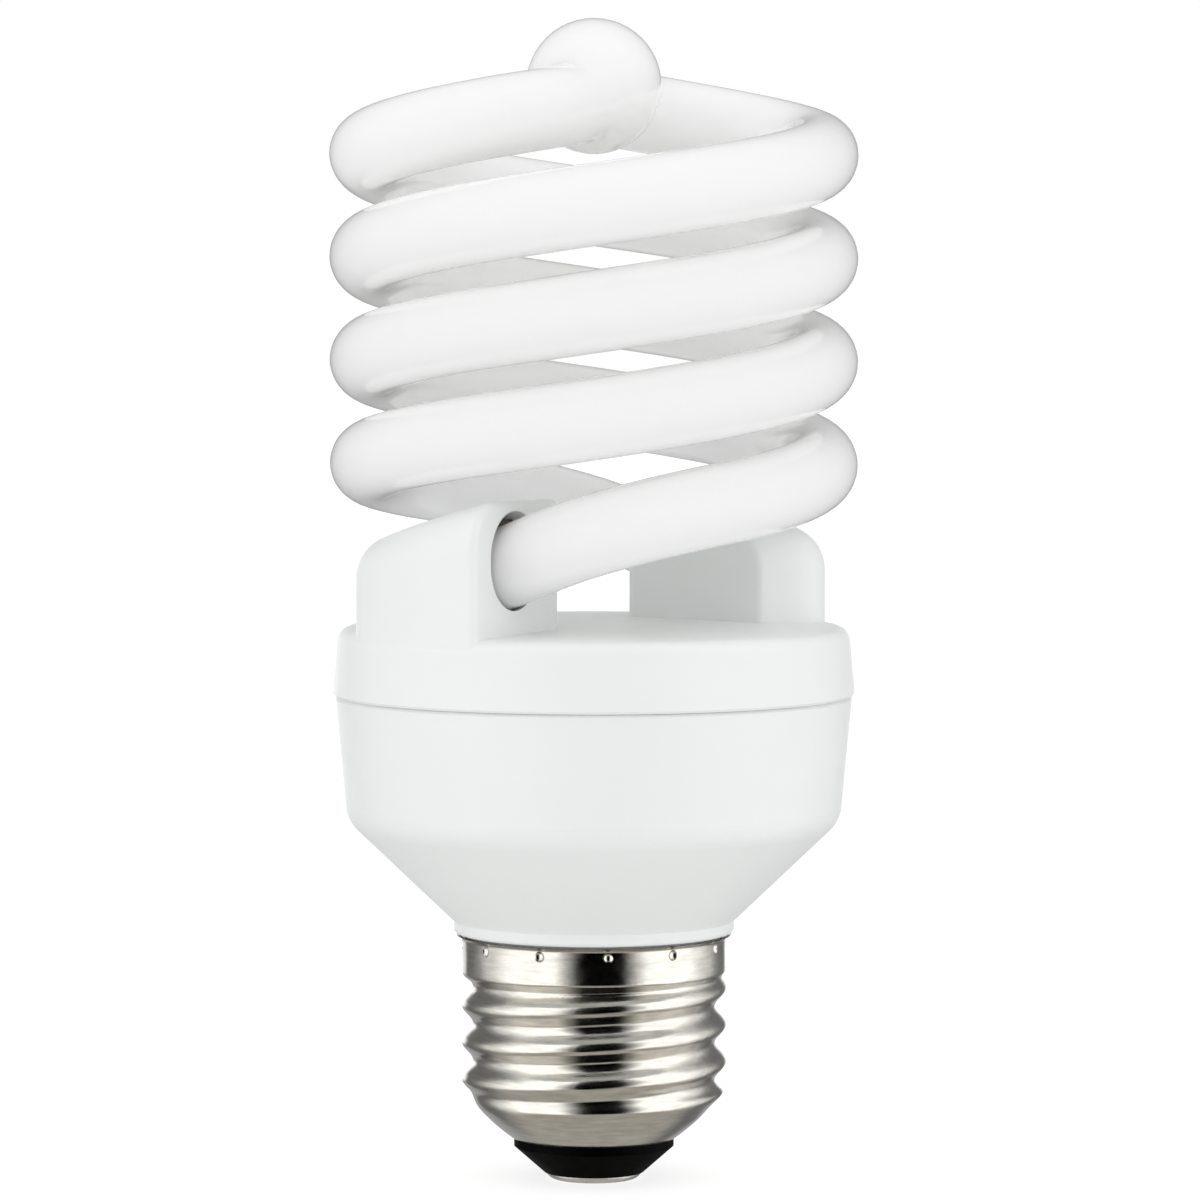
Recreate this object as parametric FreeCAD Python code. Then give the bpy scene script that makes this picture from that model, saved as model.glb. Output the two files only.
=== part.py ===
"""Spiral energy saving bulb with an E26 screw base, in millimetres.

The origin is the middle of the contact's flat underside, and +Z is up along the bulb's axis. One strand of
the spiral leaves its hood towards +X, and the other is the same strand turned half a turn about the axis.
"""
import FreeCAD
import Part

import os
from math import atan2, ceil, cos, hypot, pi, radians, sin, sqrt, tan

Vector = FreeCAD.Vector
UP = Vector(0, 0, 1)
ORIGIN = Vector(0, 0, 0)
tolerance = 0.01

# Screw base
thread_pitch = 3.629
thread_mean_radius = 12.45
thread_half_depth = 0.55
thread_length = 12.0
thread_crest_angle = 32.3
thread_crest_height = 15.33
thread_fade = 1.3
shell_sheet = 0.4
shell_lip_radius = 8.05
bowl_height = 4.6
bowl_bulge = 0.45
band_radius = 12.93
band_height = 3.4
shell_flare_height = 0.45
shell_flare = 0.55
crimp_count = 12
crimp_radius = 0.52
crimp_depth = 0.28
crimp_below_rim = 0.9
crimp_first_angle = 38.4

# Insulator and contact
contact_height = 0.65
contact_radius = 4.7
contact_flat_radius = 3.9
contact_edge_bulge = 0.15
contact_stem_radius = 1.5
contact_stem_reach = 0.7
insulator_tip_radius = 4.9
insulator_rim_radius = 7.85
insulator_cone_height = 2.6
insulator_rim_height = 0.85
insulator_head_gap = 0.1
insulator_fit = 0.1

# Ballast housing
housing_wall = 1.8
neck_radius = 13.75
neck_height = 1.2
neck_gap = 0.2
neck_round = 0.5
stub_end_gap = 0.6
stub_fit = 0.1
stub_wall = 1.3
cone_height = 9.95
corner_inset = 1.12
corner_round = 3.6
wall_height = 12.15
rim_inset = 0.25
rim_chamfer = 0.3
rib_count = 6
rib_width = 2.0
rib_depth = 2.6
rib_height = 5.5

# Circuit board
board_thickness = 1.6
board_below_rim = 4.6
board_gap = 0.4
layout_radius = 22.4
lead_radius = 0.3
lead_hole_radius = 0.45
lead_stub = 1.0
lead_root = 0.5

# Tube holder
cap_height = 7.1
cap_draft = 0.45
cap_inset = 0.23
cap_edge_round = 1.4
cap_floor = 2.0
cap_wall = 1.8
cap_crown = 0.4
cap_chamfer = 0.25
seam_gap = 0.05
skirt_fit = 0.25
skirt_wall = 1.4

# Hoods of the tube holder
hood_height = 12.75
hood_exit = 2.4
hood_side_room = 4.05
hood_rim_inset = 0.55
hood_end = 17.5
hood_end_turn = 29.5
hood_roof_slope = 15.0
hood_wall = 1.5
hood_corner_round = 6.0
hood_roof_round = 4.2
hood_edge_round = 0.8
leg_hole_clearance = 0.3
leg_hole_lift = 0.6

# Spiral tube
tube_radius = 3.9
helix_radius = 21.85
helix_pitch = 20.1
helix_turns = 1.657
leg_inset = 4.05
leg_bend_radius = 15.0
leg_slope = 20.0
leg_exit_height = 6.55
leg_inside = 6.5
crown_rise = 5.0
ball_lift = 1.6
ball_lift_reach = 8.0
ball_radius = 6.6
ball_flare_radius = 4.0
leg_step = 2.8
helix_step = 9.0
ball_step = 1.0

# Cement beds
cement_length = 4.0
cement_fit = 0.1
cement_depth = 5.5

# Electrolytic capacitor
bulk_radius = 5.5
bulk_height = 20.0
bulk_place = (4.8, 0.0)
bulk_lead_spacing = 5.0
bulk_groove = 0.4
bulk_groove_place = 2.0

# Choke with an E core
choke_place = (-8.9, 0.0)
choke_length = 12.6
choke_width = 10.8
choke_height = 11.0
choke_limb = 2.6
choke_side_limb = 1.3
choke_depth = 5.6
choke_fit = 0.15
bobbin_wall = 0.8
choke_base = 1.2
choke_pin_spacing = 8.0

# Ring core of the oscillator
drive_place = (3.2, 12.6)
drive_outer_radius = 4.2
drive_inner_radius = 2.4
drive_height = 4.0
drive_wire_radius = 0.35
drive_wire_fit = 0.06
drive_windings = 3
drive_turns = 4
drive_turn_pitch = 25.0

# Small parts on the board
transistor_size = (7.6, 3.0, 9.0)
transistor_places = ((12.4, 6.4, 90.0), (12.4, -6.4, 90.0))
transistor_pitch = 2.3
transistor_tab = 0.8
transistor_hole_radius = 1.5
transistor_hole_depth = 6.1
diode_radius = 1.2
diode_length = 4.4
diode_count = 4
diode_place = (5.6, -12.1)
diode_row_pitch = 2.6
resistor_radius = 0.9
resistor_length = 3.6
resistor_places = ((-5.0, 17.0, 0.0), (-3.4, -16.8, 0.0), (-15.6, -9.6, 122.0))
fuse_radius = 1.25
fuse_length = 6.0
fuse_place = (15.3, -12.9, 50.0)
trigger_radius = 1.0
trigger_length = 3.8
trigger_place = (17.6, 0.0, 90.0)
axial_lead_reach = 1.2
axial_end_round = 0.3
resonant_size = (8.0, 4.0, 7.6)
resonant_place = (-7.6, 12.2, 0.0)
coupling_size = (7.5, 3.8, 7.0)
coupling_place = (-6.4, -11.6, 0.0)
box_lead_spacing = 5.0
box_part_round = 0.5
inductor_radius = 2.2
inductor_waist = 1.6
inductor_height = 6.4
inductor_flange = 1.1
inductor_place = (-15.7, 8.7)
inductor_lead_spacing = 2.5

# Wires
post_size = 0.8
post_height = 4.0
post_places = ((-12.4, -15.2), (-9.2, -17.3))
wire_radius = 0.3
wire_spread = 1.3
wire_drop = 2.2
wire_from_end = 1.2
mains_wire_radius = 0.5
mains_hole_radius = 0.65
contact_lead_place = (-1.6, -8.0)
shell_lead_place = (-1.6, 8.2)
shell_lead_drop = 1.2
shell_lead_fit = 0.2

# Levels up the axis
insulator_base = contact_height
shell_lip = insulator_base + insulator_cone_height + insulator_rim_height
bowl_top = shell_lip + bowl_height
insulator_top = bowl_top - thread_fade - insulator_head_gap
thread_top = bowl_top + thread_length
stub_base = thread_top + stub_end_gap
shell_top = thread_top + band_height
neck_base = shell_top + neck_gap
cone_base = neck_base + neck_height
corner_level = cone_base + cone_height
rim_level = corner_level + wall_height
board_under = rim_level - board_below_rim
board_top = board_under + board_thickness
cap_base = rim_level + seam_gap
floor_level = cap_base + cap_height
floor_under = floor_level - cap_floor
hood_top = floor_level + hood_height
leg_exit_level = floor_level + leg_exit_height

# Radii and places that follow from the sizes above
cap_radius = helix_radius + tube_radius - cap_inset
rim_radius = cap_radius - rim_inset
corner_radius = rim_radius - corner_inset
housing_bore = rim_radius - housing_wall
stub_radius = band_radius - shell_sheet - stub_fit
stub_bore = stub_radius - stub_wall
skirt_radius = housing_bore - skirt_fit - corner_inset * board_below_rim / wall_height
board_radius = skirt_radius - board_gap
leg_offset = helix_radius - leg_inset
hood_radius = cap_radius - hood_rim_inset
hood_inner = leg_offset - tube_radius - hood_side_room

# Courses of the glass tube: a straight leg, a bend, the helix and a half circle into the ball
bend_side = leg_bend_radius - leg_offset
bend_x = sqrt((helix_radius - leg_bend_radius) ** 2 - bend_side ** 2)
bend_turn = atan2(bend_side, bend_x) + pi / 2
leg_length = leg_inside + bend_x - hood_exit
bend_length = leg_bend_radius * bend_turn
helix_length = helix_radius * helix_turns * 2 * pi
crown_radius = helix_radius / 2
crown_length = pi * crown_radius
strand_length = leg_length + bend_length + helix_length + crown_length
helix_rise = helix_pitch / (2 * pi * helix_radius)
leg_rise = tan(radians(leg_slope))
leg_start = Vector(hood_exit - leg_inside, -leg_offset, leg_exit_level - leg_inside * leg_rise)
bend_level = leg_start.z + leg_length * leg_rise
helix_level = bend_level + bend_length * (leg_rise + helix_rise) / 2
crown_level = helix_level + helix_length * helix_rise
leg_direction = Vector(1, 0, leg_rise).normalize()


def turned(shape, angle):
    """A copy of the shape, turned about the bulb's axis."""
    copy = shape.copy()
    copy.rotate(ORIGIN, UP, angle)
    return copy


def pair(shape):
    """The shape and its twin half a turn round the axis."""
    return [shape, turned(shape, 180)]


def cylinder(radius, height, place, direction=UP):
    return Part.makeCylinder(radius, height, Vector(*place), direction)


def box(size, corner):
    return Part.makeBox(*size, Vector(*corner))


def revolved(profile):
    """A solid turned about the axis from (radius, height) points and curve edges in order."""
    edges = []
    last = None
    for item in profile + profile[:1]:
        if isinstance(item, tuple):
            point = Vector(item[0], 0, item[1])
            if last is not None and not near(last.distanceToPoint(point), 0):
                edges.append(Part.LineSegment(last, point).toShape())
            last = point
        else:
            edges.append(item)
            last = item.lastVertex(True).Point
    return Part.Face(Part.Wire(edges)).revolve(ORIGIN, UP, 360)


def ring_edges(shape, radius, level):
    """The round edges of a turned shape at one radius and height."""
    found = []
    for edge in shape.Edges:
        if not edge.Degenerated and isinstance(edge.Curve, Part.Circle):
            if near(edge.Curve.Radius, radius) and near(edge.Curve.Center.z, level):
                found.append(edge)
    return found


def plan(edge):
    """The place of an edge's first corner, seen from above."""
    return edge.Vertexes[0].X, edge.Vertexes[0].Y


def near(value, aim):
    return abs(value - aim) < tolerance


def upright(edge):
    return near(edge.BoundBox.XLength + edge.BoundBox.YLength, 0)


def rounded_ring(shape, size, radius, level):
    return shape.makeFillet(size, ring_edges(shape, radius, level))


def wire_run(points, radius):
    """A bent wire: straight runs with a ball at each bend."""
    solids = []
    for start, end in zip(points, points[1:]):
        run = end - start
        solids.append(Part.makeCylinder(radius, run.Length, start, run))
    for point in points[1:-1]:
        solids.append(Part.makeSphere(radius, point))
    return solids[0].fuse(solids[1:]).removeSplitter()


# Control points of a full circle about a square of side 2, and the weights of its sides and corners
ROUND = ((1, 0), (1, 1), (0, 1), (-1, 1), (-1, 0), (-1, -1), (0, -1), (1, -1), (1, 0))
ROUND_KNOTS = (0, 1, 2, 3, 4)
ROUND_MULTIPLICITIES = (3, 2, 2, 2, 3)


def skinned(rings, rings_a_face):
    """A solid with a smooth skin through round sections, each a centre, direction and radius.

    Every control point of the round section follows a smooth curve of its own from ring to ring. The skin
    is the surface that those curves control, cut across into faces of a few rings each.
    """
    lengths = [0.0]
    for (start, _, _), (end, _, _) in zip(rings, rings[1:]):
        lengths.append(lengths[-1] + start.distanceToPoint(end))
    courses = []
    for out, over in ROUND:
        points = []
        for center, direction, radius in rings:
            side = direction.cross(UP)
            side = Vector(1, 0, 0) if near(side.Length, 0) else side.normalize()
            points.append(center + (side * out + side.cross(direction).normalize() * over) * radius)
        course = Part.BSplineCurve()
        course.interpolate(Points=points, Parameters=lengths)
        courses.append(course)
    poles = [course.getPoles() for course in courses]
    weights = [[sqrt(0.5) if out and over else 1.0] * len(poles[0]) for out, over in ROUND]
    surface = Part.BSplineSurface()
    surface.buildFromPolesMultsKnots(
        poles, ROUND_MULTIPLICITIES, courses[0].getMultiplicities(), ROUND_KNOTS, courses[0].getKnots(),
        False, False, 2, courses[0].Degree, weights)
    marks = surface.getVKnots()
    cuts = marks[:-rings_a_face:rings_a_face] + marks[-1:]
    faces = [Part.Face(Part.Wire(surface.vIso(end).toShape())) for end in (marks[0], marks[-1])]
    for start, end in zip(cuts, cuts[1:]):
        span = surface.copy()
        span.segment(ROUND_KNOTS[0], ROUND_KNOTS[-1], start, end)
        faces.append(span.toShape())
    shell = Part.makeShell(faces)
    shell.sewShape()
    solid = Part.makeSolid(shell)
    if solid.Volume < 0:
        solid.reverse()
    return solid


# Screw shell


def bowl_point(share):
    """Radius and height of the shell's bulging bottom, from its lip at 0 to the thread at 1."""
    out = share + bowl_bulge * share * (1 - share)
    return shell_lip_radius + (thread_mean_radius - shell_lip_radius) * out, shell_lip + bowl_height * share


def eased(share):
    """A smooth step from 0 to 1."""
    share = min(max(share, 0.0), 1.0)
    return share * share * (3 - 2 * share)


def easing(share):
    """How fast the smooth step climbs."""
    share = min(max(share, 0.0), 1.0)
    return 6 * share * (1 - share)


def thread_depth(level):
    """Half depth of the rolled thread, which fades out at both ends."""
    into = eased((level - bowl_top + thread_fade) / thread_fade)
    out = eased((thread_top - level) / thread_fade)
    return thread_half_depth * into * out


def shell_radius(level):
    """Mean outer radius of the shell above its bowl."""
    spread = eased((level - thread_top + thread_fade) / thread_fade)
    flare = max(level - shell_top + shell_flare_height, 0) / shell_flare_height
    return thread_mean_radius + (band_radius - thread_mean_radius) * spread + shell_flare * flare ** 2


def shell_ring(radius, level, inset):
    """A circle off the axis: stacked along the axis, such circles make the thread."""
    turn = radians(thread_crest_angle) + 2 * pi * (level - thread_crest_height) / thread_pitch
    depth = thread_depth(level)
    return Vector(depth * cos(turn), depth * sin(turn), level), UP, radius - inset


def shell_skin(inset):
    """The solid inside one skin of the shell's sheet."""
    bowl_steps = 6
    levels_a_turn = 12
    rings = []
    for step in range(bowl_steps):
        radius, level = bowl_point(step / bowl_steps)
        rings.append(shell_ring(radius, level, inset))
    steps = ceil((shell_top - bowl_top) / thread_pitch * levels_a_turn)
    for step in range(steps + 1):
        level = bowl_top + (shell_top - bowl_top) * step / steps
        rings.append(shell_ring(shell_radius(level), level, inset))
    return skinned(rings, levels_a_turn)


def make_screw_shell():
    shell = shell_skin(0).cut(shell_skin(shell_sheet))
    level = shell_top - crimp_below_rim
    ball = (crimp_radius ** 2 + crimp_depth ** 2) / (2 * crimp_depth)
    dents = []
    for number in range(crimp_count):
        center = Vector(band_radius - crimp_depth + ball, 0, level)
        dents.append(turned(Part.makeSphere(ball, center), crimp_first_angle + 360 * number / crimp_count))
    return shell.cut(dents)


def make_base_insulator():
    head_steps = 5
    head_share = (insulator_top - shell_lip) / bowl_height
    points = []
    for step in range(head_steps + 1):
        radius, level = bowl_point(head_share * step / head_steps)
        points.append(Vector(radius - shell_sheet - insulator_fit, 0, level))
    curve = Part.BSplineCurve()
    curve.interpolate(points)
    hole = contact_stem_radius + insulator_fit
    cone_top = insulator_base + insulator_cone_height
    return revolved([
        (hole, insulator_base),
        (insulator_tip_radius, insulator_base),
        (insulator_rim_radius, cone_top),
        (insulator_rim_radius, shell_lip),
        (points[0].x, shell_lip),
        curve.toShape(),
        (hole, points[-1].z),
    ])


def make_centre_contact():
    """A pressed disc with a flat face and a rivet stem up through the insulator."""
    middle = Vector((contact_flat_radius + contact_radius) / 2, 0, contact_height / 2)
    outward = Vector(contact_height, 0, contact_flat_radius - contact_radius).normalize()
    edge = Part.Arc(
        Vector(contact_flat_radius, 0, 0),
        middle + outward * contact_edge_bulge,
        Vector(contact_radius, 0, contact_height),
    )
    stem_top = insulator_top + contact_stem_reach
    return revolved([
        (0, 0),
        (contact_flat_radius, 0),
        edge.toShape(),
        (contact_stem_radius, contact_height),
        (contact_stem_radius, stem_top),
        (0, stem_top),
    ])


# Ballast housing


def make_ballast_housing():
    outer = revolved([
        (0, neck_base),
        (neck_radius, neck_base),
        (neck_radius, cone_base),
        (corner_radius, corner_level),
        (rim_radius, rim_level),
        (0, rim_level),
    ])
    outer = rounded_ring(outer, corner_round, corner_radius, corner_level)
    outer = rounded_ring(outer, neck_round, neck_radius, neck_base)
    outer = outer.makeChamfer(rim_chamfer, ring_edges(outer, rim_radius, rim_level))
    slope = cone_height / (corner_radius - neck_radius)
    cone_wall = housing_wall * hypot(1, slope)
    inner_corner = corner_level + cone_wall - housing_wall * slope
    inner_cone = cone_base + cone_wall + (stub_bore - neck_radius) * slope
    hollow = revolved([
        (0, inner_cone),
        (stub_bore, inner_cone),
        (corner_radius - housing_wall, inner_corner),
        (housing_bore, rim_level),
        (0, rim_level),
    ])
    hollow = rounded_ring(hollow, corner_round - housing_wall, corner_radius - housing_wall, inner_corner)
    stub = cylinder(stub_radius, cone_base - stub_base, (0, 0, stub_base))
    bore = cylinder(stub_bore, inner_cone - stub_base, (0, 0, stub_base))
    body = outer.fuse(stub).cut([hollow, bore])
    ribs = []
    for number in range(rib_count):
        corner = (board_radius + board_gap - rib_depth, -rib_width / 2, board_under - rib_height)
        rib = box((rib_depth + housing_wall, rib_width, rib_height), corner).common(outer)
        ribs.append(turned(rib, 360 * number / rib_count))
    return body.fuse(ribs).removeSplitter()


# Tube holder


def hood_block(inset, base):
    """One hood's form, drawn in by a wall on every side but its foot."""
    reach = 2 * hood_radius
    height = hood_top - base
    drum = cylinder(hood_radius - inset, height, (0, 0, base))
    front = hood_exit - inset
    side = -hood_inner - inset
    slab = box((reach, reach, height), (front - reach, side - reach, base))
    end = box((reach, 2 * reach, height), (-hood_end + inset, -reach, base))
    end.rotate(Vector(-hood_end, -leg_offset, base), UP, -hood_end_turn)
    lift = Vector(hood_exit, 0, hood_top - inset / cos(radians(hood_roof_slope)))
    tilt = FreeCAD.Rotation(Vector(0, 1, 0), -hood_roof_slope)
    roof = box((2 * reach, 2 * reach, 2 * reach), (-reach, -reach, -2 * reach))
    roof.Placement = FreeCAD.Placement(lift, tilt)
    block = drum.common(slab).common(end).common(roof)
    rim = hood_radius - inset
    corners = [edge for edge in block.Edges if upright(edge) and near(hypot(*plan(edge)), rim)]
    block = block.makeFillet(hood_corner_round - inset, min(corners, key=plan))
    roof_normal = tilt.multVec(UP)
    outer_top = []
    for edge in block.Edges:
        on_roof = all(near((vertex.Point - lift).dot(roof_normal), 0) for vertex in edge.Vertexes)
        straight = all(near(vertex.X, front) or near(vertex.Y, side) for vertex in edge.Vertexes)
        if on_roof and not straight:
            outer_top.append(edge)
    return block.makeFillet(hood_roof_round - inset, outer_top)


def softened_hood(base):
    """A hood with a small round on the edges of its exit face and of its inner wall."""
    hood = hood_block(0, base)
    sharp = []
    for edge in hood.Edges:
        at_foot = all(near(vertex.Z, base) for vertex in edge.Vertexes)
        on_exit = all(near(vertex.X, hood_exit) for vertex in edge.Vertexes)
        on_inner = all(near(vertex.Y, -hood_inner) for vertex in edge.Vertexes)
        if (on_exit or on_inner) and not at_foot:
            sharp.append(edge)
    return hood.makeFillet(hood_edge_round, sharp)


def leg_cylinder(radius, start, end):
    """A round bar along the straight leg, between two distances from the hood's exit face."""
    point = Vector(hood_exit, -leg_offset, leg_exit_level) + leg_direction * start
    return Part.makeCylinder(radius, end - start, point, leg_direction)


def make_tube_holder():
    top_radius = cap_radius - cap_draft
    edge_level = floor_level - cap_crown
    flat_radius = top_radius - cap_edge_round
    edge = Part.Arc(
        Vector(top_radius, 0, edge_level - cap_edge_round),
        Vector(flat_radius + cap_edge_round * sqrt(0.5), 0, edge_level - cap_edge_round * (1 - sqrt(0.5))),
        Vector(flat_radius, 0, edge_level),
    )
    crown = Part.Arc(
        Vector(flat_radius, 0, edge_level),
        Vector(flat_radius / 2, 0, floor_level - cap_crown / 4),
        Vector(0, 0, floor_level),
    )
    cap = revolved([
        (0, cap_base),
        (cap_radius - cap_chamfer, cap_base),
        (cap_radius, cap_base + cap_chamfer),
        (top_radius, edge_level - cap_edge_round),
        edge.toShape(),
        crown.toShape(),
    ])
    body = cap.fuse(pair(softened_hood(floor_under)))
    room = revolved([
        (0, cap_base),
        (cap_radius - cap_wall, cap_base),
        (top_radius - cap_wall, floor_under),
        (0, floor_under),
    ])
    skirt = cylinder(skirt_radius, floor_under - board_top, (0, 0, board_top))
    skirt = skirt.cut(cylinder(skirt_radius - skirt_wall, floor_under - board_top, (0, 0, board_top)))
    hollow = hood_block(hood_wall, board_top)
    bore = leg_cylinder(tube_radius + leg_hole_clearance, -leg_inside, 2 * tube_radius)
    hole = bore.fuse(bore.translated(UP * leg_hole_lift))
    body = body.cut(room).fuse(skirt).cut(pair(hollow) + pair(hole))
    return body.removeSplitter()


# Spiral tube


def strand_course(along):
    """Point and direction of the first strand's middle line at a distance along its plan."""
    if along <= leg_length:
        point = leg_start + Vector(along, 0, along * leg_rise)
        return point, Vector(1, 0, leg_rise)
    along -= leg_length
    if along <= bend_length:
        heading = along / leg_bend_radius
        flattening = (helix_rise - leg_rise) / bend_length
        level = bend_level + along * (leg_rise + flattening * along / 2)
        point = Vector(bend_x, bend_side, level)
        point += Vector(sin(heading), -cos(heading), 0) * leg_bend_radius
        return point, Vector(cos(heading), sin(heading), leg_rise + flattening * along)
    along -= bend_length
    if along <= helix_length:
        heading = bend_turn + along / helix_radius
        point = Vector(sin(heading), -cos(heading), 0) * helix_radius
        point.z = helix_level + along * helix_rise
        return point, Vector(cos(heading), sin(heading), helix_rise)
    along -= helix_length
    turn_in = bend_turn + helix_length / helix_radius
    heading = turn_in + along / crown_radius
    share = along / crown_length
    start_rise = helix_rise * crown_length
    level = crown_level + start_rise * share
    level += (3 * crown_rise - 2 * start_rise) * share ** 2 + (start_rise - 2 * crown_rise) * share ** 3
    rise = helix_rise + 2 * (3 * crown_rise - 2 * start_rise) * share / crown_length
    rise += 3 * (start_rise - 2 * crown_rise) * share ** 2 / crown_length
    into_ball = 1 - (crown_length - along) / ball_lift_reach
    level += ball_lift * eased(into_ball)
    rise += ball_lift * easing(into_ball) / ball_lift_reach
    point = Vector(sin(turn_in), -cos(turn_in), 0) + Vector(sin(heading), -cos(heading), 0)
    point *= crown_radius
    point.z = level
    return point, Vector(cos(heading), sin(heading), rise)


flare_end = sqrt((ball_radius + ball_flare_radius) ** 2 - (tube_radius + ball_flare_radius) ** 2)
flare_start = flare_end * ball_radius / (ball_radius + ball_flare_radius)


def strand_radius(to_ball):
    """Radius of the glass at a distance from the middle of the ball."""
    if to_ball < flare_start:
        return sqrt(ball_radius ** 2 - to_ball ** 2)
    if to_ball < flare_end:
        return tube_radius + ball_flare_radius - sqrt(ball_flare_radius ** 2 - (flare_end - to_ball) ** 2)
    return tube_radius


def strand_stations():
    """Distances along one strand at which the glass has a section, closer together at its ends."""
    plain = strand_length - flare_end
    stations = []
    start = 0
    for end, step in ((leg_length, leg_step), (plain, helix_step), (strand_length, ball_step)):
        steps = ceil((end - start) / step)
        stations += [start + (end - start) * number / steps for number in range(steps)]
        start = end
    return stations


def make_spiral_tube():
    """One skin up the first strand, through the ball and down the second."""
    rings_a_face = 4
    first = []
    second = []
    for along in strand_stations():
        point, direction = strand_course(along)
        radius = strand_radius(strand_length - along)
        first.append((point, direction, radius))
        twin = Vector(-point.x, -point.y, point.z)
        second.append((twin, Vector(direction.x, direction.y, -direction.z), radius))
    middle, direction = strand_course(strand_length)
    return skinned(first + [(middle, direction, ball_radius)] + second[::-1], rings_a_face)


def make_tube_cement():
    """A bed of cement round each leg, inside its hood."""
    fill = hood_block(hood_wall + cement_fit, leg_exit_level - cement_depth)
    start = hood_exit - hood_wall - cement_fit - cement_length
    reach = 2 * hood_radius
    fill = fill.common(box((cement_length, reach, reach), (start, -reach, leg_exit_level - cement_depth)))
    bed = fill.cut(leg_cylinder(tube_radius + cement_fit, -2 * leg_inside, leg_inside))
    return Part.makeCompound(pair(bed))


# Parts on the board: each is drawn at the origin under the board's lower face, then set in its place


def on_board(place):
    """The spot for a place laid out on a board of layout_radius: it moves out and in with the board."""
    x, y, turn = (*place, 0.0)[:3]
    return x * board_radius / layout_radius, y * board_radius / layout_radius, turn


bulk_spot = on_board(bulk_place)
choke_spot = on_board(choke_place)
drive_spot = on_board(drive_place)
inductor_spot = on_board(inductor_place)
contact_lead_spot = on_board(contact_lead_place)
shell_lead_spot = on_board(shell_lead_place)
post_spots = [on_board(place) for place in post_places]


def placed(shape, spot):
    """The shape turned and moved to a spot on the board's underside."""
    x, y, turn = spot
    copy = turned(shape, turn)
    copy.translate(Vector(x, y, board_under))
    return copy


def placed_point(x, y, spot):
    turn = radians(spot[2])
    return spot[0] + x * cos(turn) - y * sin(turn), spot[1] + x * sin(turn) + y * cos(turn)


board_holes = []


def lead(x, y, spot, down):
    """A straight lead that starts below the board, goes through its hole and ends in a short stub."""
    board_holes.append((*placed_point(x, y, spot), lead_hole_radius))
    return cylinder(lead_radius, down + board_thickness + lead_stub, (x, y, -down))


def make_bulk_capacitor():
    can = cylinder(bulk_radius, bulk_height, (0, 0, -bulk_height))
    can = can.makeFillet(bulk_groove, ring_edges(can, bulk_radius, -bulk_height))
    ring = Part.makeTorus(bulk_radius, bulk_groove, Vector(0, 0, -bulk_groove_place))
    body = can.cut(ring)
    leads = [lead(side * bulk_lead_spacing / 2, 0, bulk_spot, lead_root) for side in (-1, 1)]
    return placed(body.fuse(leads), bulk_spot)


def choke_window():
    """Length and height of each of the core's two windows."""
    length = (choke_length - choke_limb - 2 * choke_side_limb) / 2
    return length, choke_height - 2 * choke_side_limb


def make_choke_core():
    """Two E halves in one: a frame with a middle limb, hung from the bobbin's base."""
    low = -choke_base - choke_height
    frame = box((choke_length, choke_depth, choke_height), (-choke_length / 2, -choke_depth / 2, low))
    length, height = choke_window()
    windows = []
    for side in (-1, 1):
        middle = side * (choke_limb + length) / 2
        corner = (middle - length / 2, -choke_depth / 2, low + choke_side_limb)
        windows.append(box((length, choke_depth, height), corner))
    return placed(frame.cut(windows), choke_spot)


def choke_sleeve(outset, height):
    """A block round the core's middle limb."""
    length = choke_limb + 2 * outset
    width = choke_depth + 2 * outset
    middle = -choke_base - choke_height / 2
    return box((length, width, height), (-length / 2, -width / 2, middle - height / 2))


def make_choke_bobbin():
    """A sleeve with two flanges on the middle limb, and a base with pins that stands on the board."""
    length, height = choke_window()
    sleeve_height = height - 2 * choke_fit
    sleeve = choke_sleeve(choke_fit + bobbin_wall, sleeve_height)
    flange = choke_sleeve(length - choke_fit, bobbin_wall)
    lift = Vector(0, 0, (sleeve_height - bobbin_wall) / 2)
    body = sleeve.fuse([flange.translated(lift), flange.translated(lift * -1)])
    body = body.cut(choke_sleeve(choke_fit, choke_height))
    base = box((choke_length, choke_width, choke_base), (-choke_length / 2, -choke_width / 2, -choke_base))
    leg_height = choke_base + choke_side_limb + choke_fit + bobbin_wall
    leg_depth = (choke_width - choke_depth) / 2 - choke_fit
    legs = []
    pins = []
    for side in (-1, 1):
        corner = (-choke_limb / 2, side * (choke_width - leg_depth) / 2 - leg_depth / 2, -leg_height)
        legs.append(box((choke_limb, leg_depth, leg_height), corner))
        for end in (-1, 1):
            x = side * choke_pin_spacing / 2
            y = end * choke_pin_spacing / 2
            pins.append(lead(x, y, choke_spot, lead_root))
    return placed(body.fuse(legs + [base] + pins).removeSplitter(), choke_spot)


def make_choke_winding():
    length, height = choke_window()
    height -= 2 * bobbin_wall + 4 * choke_fit
    coil = choke_sleeve(length - 2 * choke_fit, height)
    coil = coil.makeFillet(bobbin_wall, [edge for edge in coil.Edges if upright(edge)])
    return placed(coil.cut(choke_sleeve(2 * choke_fit + bobbin_wall, height)), choke_spot)


def drive_ring(outset):
    """The ring core, lying under the board with room above it for its windings."""
    wall = drive_outer_radius - drive_inner_radius + 2 * outset
    height = drive_height + 2 * outset
    top = -2 * drive_wire_radius - drive_wire_fit + outset
    ring = cylinder(drive_outer_radius + outset, height, (0, 0, top - height))
    return ring.cut(cylinder(drive_outer_radius + outset - wall, height, (0, 0, top - height)))


def make_drive_core():
    return placed(drive_ring(0), drive_spot)


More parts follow.
